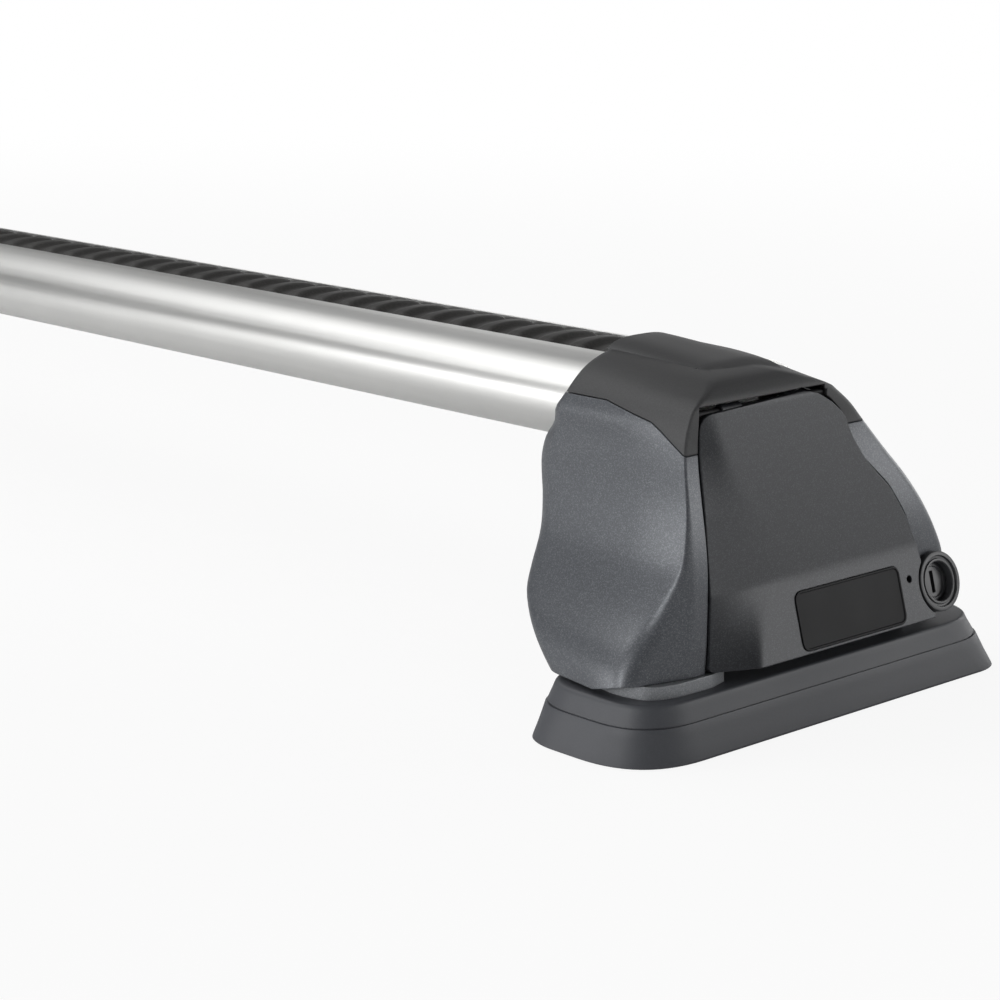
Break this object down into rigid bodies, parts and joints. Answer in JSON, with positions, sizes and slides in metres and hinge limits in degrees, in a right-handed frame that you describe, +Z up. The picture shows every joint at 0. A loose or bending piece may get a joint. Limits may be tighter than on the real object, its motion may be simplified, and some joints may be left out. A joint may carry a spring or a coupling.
{
  "type": "roof rack crossbar",
  "caption": "Vehicle roof crossbar: an aerofoil aluminium bar with a ribbed rubber strip, on moulded legs with lockable doors and rubber base pads.",
  "frame": {"origin": "centre of the bounding box's base, on the vehicle roof", "axes": "+X along the bar, +Y across it to the long side of the leg, +Z up"},
  "size_m": [1.1988, 0.1756, 0.1169],
  "materials": {
    "bar_aluminium": "satin anodised",
    "strip_rubber": "matt",
    "housing_plastic": "satin with a fine metallic sparkle",
    "cap_plastic": "matt",
    "door_plastic": "satin with a fine metallic sparkle",
    "cast_base": "satin paint",
    "pad_rubber": "smooth",
    "black_plastic": "satin",
    "plate_plastic": "semi-gloss",
    "lock_metal": "satin black",
    "steel": "zinc plated"
  },
  "bodies": {
    "root": {"crossbar": "bar_aluminium", "top_strip": "strip_rubber", "lower_strip": "strip_rubber", "housing_right": "housing_plastic", "top_cap_right": "cap_plastic", "base_casting_right": "cast_base", "base_pad_right": "pad_rubber", "saddle_pad_right": "black_plastic", "hinge_pin_right": "steel", "lock_collar_right": "black_plastic", "bar_bolts_right": "steel", "bar_nuts_right": "steel", "bolt_washers_right": "steel", "housing_screws_right": "steel", "housing_left": "housing_plastic", "top_cap_left": "cap_plastic", "base_casting_left": "cast_base", "base_pad_left": "pad_rubber", "saddle_pad_left": "black_plastic", "hinge_pin_left": "steel", "lock_collar_left": "black_plastic", "bar_bolts_left": "steel", "bar_nuts_left": "steel", "bolt_washers_left": "steel", "housing_screws_left": "steel"},
    "door_right_body": {"door_right": "door_plastic", "door_plate_right": "plate_plastic"},
    "lock_right_body": {"lock_barrel_right": "lock_metal", "lock_pawl_right": "steel", "pawl_screw_right": "steel"},
    "door_left_body": {"door_left": "door_plastic", "door_plate_left": "plate_plastic"},
    "lock_left_body": {"lock_barrel_left": "lock_metal", "lock_pawl_left": "steel", "pawl_screw_left": "steel"}
  },
  "joints": [
    {"name": "door_right_hinge", "type": "hinge", "parent": "root", "child": "door_right_body", "pos_m": [0.5845, -0.0226, 0.1027], "axis": [0, -1, 0], "range_deg": [0, 75]},
    {"name": "lock_right_turn", "type": "hinge", "parent": "root", "child": "lock_right_body", "pos_m": [0.596, 0.05425, 0.0346], "axis": [0.9636, 0, 0.2672], "range_deg": [0, 90]},
    {"name": "door_left_hinge", "type": "hinge", "parent": "root", "child": "door_left_body", "pos_m": [-0.5845, -0.0226, 0.1027], "axis": [0, 1, 0], "range_deg": [0, 75]},
    {"name": "lock_left_turn", "type": "hinge", "parent": "root", "child": "lock_left_body", "pos_m": [-0.596, 0.05425, 0.0346], "axis": [0.9636, 0, -0.2672], "range_deg": [0, 90]}
  ]
}
